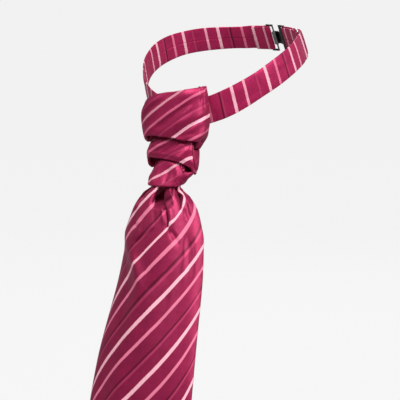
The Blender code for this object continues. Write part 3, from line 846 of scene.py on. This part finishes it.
def fold_form(sections, edges, rolls, creases, columns, tucks):
    """A fold's outer layer: its grid, normals, mm round it and up, and the stripes' jumps."""
    side = np.sin(np.linspace(-1, 1, columns) * 1.2) / math.sin(1.2)
    sides, downs = np.meshgrid(side, np.linspace(0, 1, FOLD_ROWS))
    upper, lower = at(edges, sides)
    heights = upper + (lower - upper) * downs
    grid = fold_point(sections, sides, heights)
    x = run_along(grid, axis=1) / MM
    x, h = x - x[:, columns // 2, None], heights / MM
    outward, across = front_normals(grid), unit(np.gradient(grid, axis=1))
    relief = creased(x, h, creases) - inward_roll(sides, downs, *rolls)
    moved = outward * relief[..., None]
    thin, skip = np.zeros(x.shape), np.zeros(x.shape)
    for line, *shape in tucks:
        # one layer ends in a soft fold over the next, whose stripes are further on
        flipped = [(a, -b) for a, b in line]
        over, down_by, out, near = tuck(x, -h, flipped, *shape)
        gap, which, _, _ = nearest(x, -h, flipped)
        skip += 0.5 * ease((0.3 - gap * which) / 1.5)
        moved += (across * over[..., None] + outward * out[..., None]) * MM
        moved[..., 2] -= down_by * MM
        thin = np.maximum(thin, near)
    grid = relaxed(grid + moved)
    normal = front_normals(grid)
    return grid - normal * (SILK * (1 - 0.3 * thin))[..., None] / 2, normal, x, h, skip


def turned_edge(middle, normal, v, edge, length):
    """The half turn at the edge row 0 or -1, and length mm of cloth back behind it."""
    columns = np.arange(middle.shape[1])
    sign, inside = (1, 1) if edge == 0 else (-1, -2)
    out, inward = unit(middle[edge] - middle[inside]), -normal[edge]
    reach = run_along(middle)
    made = [
        middle[edge] + out * TURN * math.sin(t) + inward * TURN * (1 - math.cos(t))
        for t in TURN_ANGLES
    ]
    gone = [TURN * t for t in TURN_ANGLES]
    for k in range(1, RETURN_ROWS + 1):
        back = length * MM * k / RETURN_ROWS
        where = reach[edge] + sign * back
        place = np.array([np.interp(where[j], reach[:, j], np.arange(len(v))) for j in columns])
        low = np.clip(np.floor(place).astype(int), 0, len(v) - 2)
        share = (place - low)[:, None]
        on, into = (
            field[low, columns] * (1 - share) + field[low + 1, columns] * share
            for field in (middle, normal)
        )
        made.append(on - into * (2 * TURN + 0.25 * MM * ease(k / RETURN_ROWS)))
        gone.append(TURN * math.pi + back)
    return np.array(made), v[edge] + sign * np.array(gone)[:, None] / MM


def make_fold(name, node, flat, surface, form, phase, returns, bend=(0, 1, 0)):
    """One tier of the knot, its edges turned under as soft folds.

    phase is the stripe repeat's place: (start, per mm across, per mm up), and bend how the
    stripes curve: (from mm, over mm, repeats).  returns are how far the cloth goes on
    behind at its upper and lower edges, in mm.
    """
    middle, normal, x, v, skip = fold_form(*form)
    parts = [(middle, x, v, skip)]
    for edge, length in zip((0, -1), returns):
        if length:
            grown, grown_v = turned_edge(middle, normal, v, edge, length)
            same_x, same_skip = (np.repeat(f[[edge]], len(grown), 0) for f in (x, skip))
            part = (grown, same_x, grown_v, same_skip)
            parts = parts + [part] if edge else [[f[::-1] for f in part]] + parts
    middle, x, v, skip = (np.concatenate(fields) for fields in zip(*parts))
    start, per_x, per_h = phase
    from_x, over_x, by = bend
    u = start + per_x * x + per_h * v + by * (np.maximum(x - from_x, 0) / over_x) ** 2 + skip
    along = (-per_h * x + per_x * v) / math.hypot(per_x, per_h)
    made = cloth(name, middle, SILK, surface, np.stack([u * REPEAT, along * MM], -1))
    dress(made, node, "knot_silk", flat, "folded", "knot_backing")


# (line, depth, width, fade, lean, crisp), as in crease; the lines run (round, up)
TOP_CREASES = [
    # drawn diagonally round the knot, as the stripes run
    ([(-34, -38), (-20, -26), (-4, -16), (10, -8)], -1.5, (2.6, 1.9), (0.25, 0.35)),
    ([(-24, -46), (-10, -35), (2, -27), (14, -18)], 1.2, (2.8, 2.2), (0.3, 0.35)),
    ([(-12, -40), (2, -31), (12, -24), (27, -14)], -1.8, (2.6, 2), (0.2, 0.3), 0.25),
    ([(-10, -47), (6, -37), (20, -29), (31, -22)], 1, (2.6, 2.2)),
    ([(2, -47), (14, -40), (26, -32), (38, -24)], -1.1, (1.9, 1.5), (0.25, 0.3), -0.3),
    ([(20, -48), (29, -42), (40, -35)], 1.2, (3, 2.6), (0.3, 0.3)),
    ([(36, -42), (39, -50), (45, -64)], -6.5, (3.5, 8), (0.5, 0.02)),
    ([(4, -10), (20, -8), (30, -7), (38, -7)], 1.9, (4, 5), (0.4, 0.3)),
    ([(9, -46), (18, -42), (28, -39)], -0.6, (1.6, 2), (0.3, 0.4), 0.3),
    # upright wrinkles where it goes round to the side
    ([(29.4, -5), (30.5, -12), (30.8, -19)], -1, 0.8, (0.05, 0.4), 0.4, 0.7),
    ([(32.2, -6), (33.6, -17), (35.4, -26)], -0.9, 0.9, (0.05, 0.4), -0.3, 0.6),
    ([(36.5, -6), (39, -18), (40, -32)], -0.8, 1.2, (0.1, 0.4), 0.3, 0.5),
    ([(44, -8), (46, -22), (45, -38)], 0.8, 2, (0.1, 0.4)),
    # the hidden side, pulled the same way
    ([(-44, -34), (-38, -40), (-30, -45)], -0.8, 1.6, (0.2, 0.4), 0, 0.4),
    ([(-50, -32), (-46, -40), (-40, -47)], 0.7, 2.2, (0.3, 0.3)),
    ([(52, -12), (54, -26), (52, -42)], -0.8, 2, (0.2, 0.3), 0.3),
]

MIDDLE_CREASES = [
    # it falls back into the shade under the top fold's two corners
    ([(-26, -45), (-18, -45), (-10, -43)], -5, (3, 3), (0.3, 0.5)),
    ([(-24, -47.5), (-16, -44.5), (-8, -42), (0, -42), (8, -43.5), (18, -46.5)],
     -2.4, 2.4, (0.1, 0.1)),
    ([(-6, -58), (1, -54.6), (8.4, -48.7), (12, -45)], -1.4, (2.4, 1.8), (0.3, 0.3)),
    ([(8, -62), (14.8, -58), (20.5, -50)], 1, (2.6, 2), (0.3, 0.3)),
    ([(-17, -57), (-9, -55.5), (0, -51), (5, -47)], -0.9, (1.8, 1.4), (0.3, 0.4), 0, 0.3),
    ([(-12, -54), (-4, -50), (4, -46)], 0.7, (2, 2)),
    ([(-26, -62), (-22, -52), (-18, -48)], -0.7, 1.5, (0.2, 0.4), 0, 0.4),
    ([(36, -52), (38, -60), (36, -70)], 0.6, 1.8, (0.2, 0.3)),
    ([(-34, -50), (-33, -60), (-36, -67)], 0.6, 1.8, (0.2, 0.3)),
]

BOTTOM_CREASES = [
    # it falls back under the middle fold's two corners
    ([(-26, -58), (-18, -60), (-18, -66), (-22, -76)], -10.5, (6, 3.6), (0.1, 0.6)),
    ([(-20, -64), (-12, -60.5), (-4, -59.5), (4, -60.5), (12, -64), (20, -68.5)],
     -2.2, 2.4, (0.1, 0.1)),
    ([(1.5, -66), (1.8, -73), (4, -80)], -0.8, (2, 1.5), (0.3, 0.1)),
    ([(6.8, -66.3), (9.6, -71), (12.7, -79)], 0.8, (2.2, 1.9), (0.3, 0.3)),
    ([(-9, -64), (-8.6, -72), (-9, -81)], 0.7, (2.4, 2), (0.2, 0.1)),
    ([(12.5, -76.5), (13, -80), (12.6, -83)], -0.45, (1.3, 1.1), (0.4, 0.05)),
    ([(16.6, -76.5), (17, -80), (16.6, -83)], -0.45, (1.3, 1.1), (0.4, 0.05)),
    ([(21, -75), (21.2, -79), (21, -83)], -0.4, (1.4, 1.1), (0.4, 0.05)),
    ([(24, -72), (24, -76), (22, -81)], 0.5, 1.5, (0.3, 0.05)),
    ([(-24, -70), (-25, -75), (-25, -81)], -0.5, 1.4, (0.3, 0.05)),
]

# where the middle fold's outer layer ends over the next one, on the wearer's left
MIDDLE_TUCK = (
    [(22, -42), (23, -48.7), (23.1, -53), (24.2, -56.7), (25.8, -60.7), (28.3, -64.8), (29.1, -71)],
    -2.2, 4, 0.6, 1.1, (0.05, 0.1),
)


def make_knot(surface, surface_low):
    top = (TOP_SECTIONS, TOP_EDGES, (1.3, 0.0), TOP_CREASES, 181, ())
    middle = (MIDDLE_SECTIONS, MIDDLE_EDGES, (0.0, 1.0), MIDDLE_CREASES, 221, (MIDDLE_TUCK,))
    bottom = (BOTTOM_SECTIONS, BOTTOM_EDGES, (0.0, 0.0), BOTTOM_CREASES, 221, ())
    make_fold("knot_top", "tier_top", (0.128, 0.066), surface, top,
              (-0.516, 0.02124, -0.03085), (12, 11), (18, 22, -0.18))
    make_fold("knot_middle", "tier_middle", (0.098, 0.032), surface, middle,
              (-0.937, 0.01503, -0.027), (0, 8))
    make_fold("knot_bottom", "tier_bottom", (0.088, 0.029), surface_low, bottom,
              (-2.19, 0.0212, -0.0309), (3.5, 5))


STRIP_FROM, STRIP_TO = -14 * MM, -86 * MM
STRIP_THICKNESS = 1.3 * MM
STRIP_STITCH_PITCH = 4.3
# sections, hand, from and to mm high: where the strip is whipped to the folds' ends
WHIPPED = (
    (TOP_SECTIONS, -1, -33, -42), (TOP_SECTIONS, 1, -13, -48),
    (MIDDLE_SECTIONS, -1, -46, -62), (MIDDLE_SECTIONS, 1, -52, -66),
    (BOTTOM_SECTIONS, -1, -66, -77), (BOTTOM_SECTIONS, 1, -69, -77),
)


def make_backing(surface, sewing):
    """The strip that the folds are sewn to, down the back of the knot."""
    share = np.sin(np.linspace(-1, 1, 31) * math.pi / 2)
    shares, heights = np.meshgrid(share, np.linspace(STRIP_FROM, STRIP_TO, 80))
    back, centre, half = at(BACKING, heights)
    x = centre + half * shares
    h = heights / MM
    slack = 0.12 * np.sin(h / 3.1 + 0.4 * x / MM) * shares**2 + 0.1 * np.sin(h / 6.7 + 1.0)
    y = back + BACKING_CURVE * x * x - 0.7 * MM + slack * MM
    uv = 0.7 * np.stack([x - heights, x + heights], -1)
    grid = np.stack([x, y, heights], -1)
    made = cloth("knot_strip", grid, STRIP_THICKNESS, surface, uv)
    dress(made, "knot_backing", "knot_silk", (0.022, 0.075), "stretched", "neckband_left")

    spans = []
    for sections, hand, first, last in WHIPPED:
        for h in np.arange(first, last, -STRIP_STITCH_PITCH) + 0.5 * math.sin(first):
            back, centre, half = at(BACKING, h * MM)
            x = centre + hand * (half - 1.2 * MM)
            start = (x, back + BACKING_CURVE * x * x - 0.05 * MM, (h - 0.9) * MM)
            spans.append((start, fold_point(sections, hand * 0.975, (h + 0.5) * MM), (0, 1, 0)))
    stitches("knot_stitches", spans, sewing)


# ---- tail

# down, height, middle, front, half chord, depth
TAIL = table([
    (0, -76.5, -4, -82.2, 11.5, 8), (6.5, -83, -4.1, -85.6, 13, 9), (14, -90, -3.8, -89.6, 22, 12),
    (25, -100, -3.5, -93.8, 29.5, 15), (36, -110.5, -3.5, -97.5, 33.5, 17.5),
    (48, -122, -3.5, -101, 37, 19), (75, -148, -3, -107.5, 40, 19),
    (115, -187, -3, -116.5, 43, 16.5), (180, -250.5, -2.5, -130, 47, 12),
    (290, -359, -2, -148.5, 50, 9),
])
TAIL_SIDE_LENGTH = 258 * MM
TAIL_LENGTH = 305 * MM
TAIL_ROUND = math.radians(78)
END_FROM, END_SLOPE = 290 * MM, 0.16
TAIL_WALL = 1.4 * MM
# side, half width, depth at the top and below mm, kept to and gone by mm, lip mm, slant
PLEATS = (
    (-0.66, 0.18, 3.6, 3.6, 4, 36, 0.6, 0),
    (0.115, 0.31, 12, 18.5, 17, 24, 1.6, 0.74),
    (0.66, 0.16, 5, 5, 6, 26, 0.2, 0.2),
)


def tail_point(side, down, pleats=PLEATS):
    """A point of the tail's outer face: side -1 to 1 from the right edge to the left."""
    height, middle, front, half, depth = at(TAIL, down)
    turn = side * TAIL_ROUND
    x = middle + half * np.sin(turn) / math.sin(TAIL_ROUND)
    back = depth * (1 - np.cos(turn)) / (1 - math.cos(TAIL_ROUND))
    for place, half_width, above, below, kept, gone, lip, slant in pleats:
        near = np.clip((side - place) / half_width, -1, 1)
        fade = 1 - ease((down / MM - kept) / (gone - kept))
        deep = above + (below - above) * ease(down / MM / kept)
        inward = deep * MM * fade * (0.5 + 0.5 * np.cos(math.pi * near)) ** 0.8
        back += inward
        x += lip * MM * fade * np.sin(2 * math.pi * near) - slant * inward
    past_end = np.maximum(down - END_FROM, 0)
    return np.stack(
        np.broadcast_arrays(x, front + back - END_SLOPE * past_end, height - past_end), -1
    )


TAIL_COLUMNS = 233
TAIL_ROWS = ((0, 70, 96), (70, 234, 66), (234, 258, 37))  # from and to mm, how many
# the lines run (across, down) in mm from the centre line and from the top
TAIL_TUCKS = [
    ([(5.4, 8), (8, 17.5), (10.5, 24.8), (13.4, 33), (14.6, 41)], 2.4, 5, 1, 1.3, (0.2, 0.25)),
    ([(12.6, 5), (17, 11.5), (21.4, 18.5), (24.4, 26)], 2, 5, 0.9, 1.4, (0.1, 0.4)),
]
# (down, across): left of this line the tail rolls back
TAIL_ROLL = ((46, -31), (56, -25), (66, -17), (78, -9), (94, -5), (150, -5))
ROLL_DEPTH = 5.5
# the stripes' place: (start, per mm across, per mm down)
TAIL_PHASE = (0.037646, 0.0246, 0.0178)
# pulled into the knot, the cloth draws its stripes wide or thin:
# (place in repeats, how much wider, gone by mm)
TAIL_PULLS = (
    (0, 0.45, 62), (0.34, 0.45, 62), (1, -0.65, 84), (1.34, 0.3, 80), (1.68, 0.45, 130),
)
TAIL_CREASES = [
    ([(-1.5, 21), (-0.6, 27), (0.8, 33), (2, 40)], -0.4, (2.3, 1.8), (0.35, 0.6)),
    ([(4.6, 18), (7.4, 28), (10, 37)], 0.8, (1.7, 1.5), (0.25, 0.4)),
    ([(-18.6, 53.8), (-6.3, 45.2), (3, 38)], -1.5, (2.4, 1.6), (0.3, 0.3), 0.4, 0.4),
    ([(-24, 50), (-14, 44), (-8, 34)], 1, (3.5, 2.5)),
    ([(-13, 28), (-11, 38), (-9, 50)], -0.6, (2.6, 3.2), (0.4, 0.5)),
    ([(-24, 30), (-20, 38), (-15, 44)], -0.9, (2, 2.4)),
    ([(-16, 11), (-21.1, 16.8), (-25.9, 22.8), (-31, 31)], -1.7, (2.4, 3)),
    ([(24, 17), (29.4, 25.5), (35, 35)], -1.7, (2.2, 2.8)),
    ([(-22, 54), (-14, 66), (-6, 80), (-2, 98)], 1.3, (4, 6), (0.3, 0.5)),
    ([(16, 40), (20, 44), (27, 53)], -1, (1.6, 2.5), (0.1, 0.5)),
    ([(31, 40), (36, 58), (38, 90)], -1.3, (2.6, 6), (0.3, 0.5), -0.3),
    ([(24, 60), (18, 100), (16, 160)], -1.2, (5, 9), (0.4, 0.5)),
    ([(-6, 90), (-14, 150), (-18, 230)], 1.2, (7, 10), (0.4, 0.4)),
    ([(30, 130), (26, 190), (30, 250)], -1.1, (6, 9), (0.4, 0.3)),
    ([(-36, 140), (-34, 200), (-38, 262)], -1.1, (6, 8), (0.4, 0.2)),
    ([(4, 180), (8, 240), (4, 300)], -0.9, (7, 9), (0.5, 0.3)),
]


def tail_form(sides, downs, x):
    """The tail's outer face with its folds, and how much its cloth is thinned by them."""
    grid, plain, d = tail_point(sides, downs), tail_point(sides, downs, ()), downs / MM
    # small gathers where it is sewn into the knot
    gathers = 0.28 * np.sin(x * 1.6 + 0.7 * np.sin(x * 0.8)) * (1 - ease(d / 15.0))
    relief = creased(x, d, TAIL_CREASES) + gathers * MM
    moved = front_normals(grid) * relief[..., None]
    roll = ease((through(d, *zip(*TAIL_ROLL)) - x + 3.0) / 22.0)
    moved[..., 1] += ROLL_DEPTH * MM * roll * ease((d - 42) / 22) * ease((150 - d) / 70)
    ways = [unit(np.gradient(plain, axis=axis)) for axis in (1, 0)] + [front_normals(plain)]
    thin = np.zeros(x.shape)
    for line, *shape in TAIL_TUCKS:
        *moves, near = tuck(x, d, line, *shape)
        moved += sum(way * move[..., None] for way, move in zip(ways, moves)) * MM
        thin = np.maximum(thin, near)
    return relaxed(grid + moved), thin


def tail_stripes(across, d):
    """The place in the stripe repeat and the mm run along the stripes."""
    start, per_x, per_d = TAIL_PHASE
    u = start + per_x * across + per_d * d
    return u, (-per_d * across + per_x * d) / math.hypot(per_x, per_d)


def make_tail(surface, sewing):
    # closer columns where the folds are
    side = np.interp(np.linspace(0, 1, TAIL_COLUMNS), (0, 0.3, 0.85, 1), (-1, -0.22, 0.86, 1))
    down = np.unique(np.concatenate([np.linspace(*rows) for rows in TAIL_ROWS])) * MM
    sides, downs = np.meshgrid(side, down)
    point = (TAIL_LENGTH - TAIL_SIDE_LENGTH) * (
        1 - np.abs(np.sin(sides * TAIL_ROUND)) / math.sin(TAIL_ROUND)
    )
    downs = downs + point * ease(downs / TAIL_SIDE_LENGTH) ** 2
    half = at(TAIL, downs)[3]
    x, d = sides * TAIL_ROUND * half / math.sin(TAIL_ROUND) / MM, downs / MM
    grid, thin = tail_form(sides, downs, x)
    normal = front_normals(grid)

    # behind, a felled seam down the middle and a hem round the point
    lap = 0.34 * ease(x / 0.5) * np.exp(-np.maximum(x, 0) / 9.0) - 0.24 * hill(x, 0.6)
    edge = (downs[-1:] - downs) / MM * 0.72
    hem = 0.22 * ease((9.5 - edge) / 0.9) - 0.3 * hill(edge - 9.3, 0.8)
    # one layer of silk where it is gathered, two and their stiffening below
    thickness = TAIL_WALL * (1 - 0.45 * np.maximum(thin, 1 - ease((d - 5) / 60)))
    thickness = thickness + MM * (lap * ease((d - 55) / 15) + hem * ease((12 - edge) / 2))
    behind = grid - normal * thickness[..., None]

    # the cloth is cut wide and gathered at its top
    width = 50.05 * (1 - 0.25 * hill(d, 80.0))
    u, v = tail_stripes(sides * width, d)
    pull = sum(
        wider * hill(u - place, 0.15) * ease((gone - d) / 28) for place, wider, gone in TAIL_PULLS
    )
    u = u - pull * np.sin(6 * math.pi * (u - PINK_STRIPE[0])) / (6 * math.pi)
    maps = [(u, v)] + [tail_stripes((2 * turn - sides) * width, d) for turn in (-1, 1)]
    uv, *halves = (np.stack([u * REPEAT, v * MM], -1) for u, v in maps)
    seam = int(np.searchsorted(side, 0.0))
    made = cloth("tail_blade", (grid + behind) / 2, thickness, surface, uv, (seam, *halves))
    dress(made, "tail", "tail_silk", (0.102, 0.305), "gathered", "tier_bottom", area=0.0285)

    def on_back(across, far):
        row = np.argmin(np.abs(d[:, seam] - far))
        return behind[row, np.argmin(np.abs(x[row] - across))]

    # slip stitches down the seam and a bar tack above the point
    spans = [
        (on_back(-0.9, far), on_back(0.8, far + 1.7), (0, 1, 0.2))
        for far in np.arange(63.0, 276.0, 7.1)
    ]
    for k in range(-2, 3):
        lift = (0, 0, k * 0.42 * MM)
        spans.append((on_back(-2.6, 283.0) + lift, on_back(2.6, 283.0) + lift, (0, 1, 0.2)))
    stitches("tail_stitches", spans, sewing)


# ---- the cravat

make_camera()
make_stage()
make_lights()

# one cloth in lighter copies as painted light: the band's base lifted 1.6, the knot's 1.15, the
# tail's not at all
band_silk = silk("band_silk_woven", 1.6, pinks=(1.1, 1.6), darks=(0.15, 0.9))
# on the knot every other bright stripe shows at half strength: painted shade
knot_silk = silk("knot_silk_woven", 1.15, (0.5, 1.0), 0.85, 0.15, 0.45)
knot_end = silk("knot_end_silk_woven", 1.15, 0.7, 0.15, 0.0, 0.3)
tail_silk = silk("tail_silk_woven", pinks=1.15)
wine_thread, metal = thread(), dark_metal()

make_straps(band_silk, wine_thread)
make_knot(knot_silk, knot_end)
make_backing(knot_silk, wine_thread)
make_tail(tail_silk, wine_thread)
for part in ("slider", "hook", "eye"):
    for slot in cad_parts[part].material_slots:
        slot.material = metal
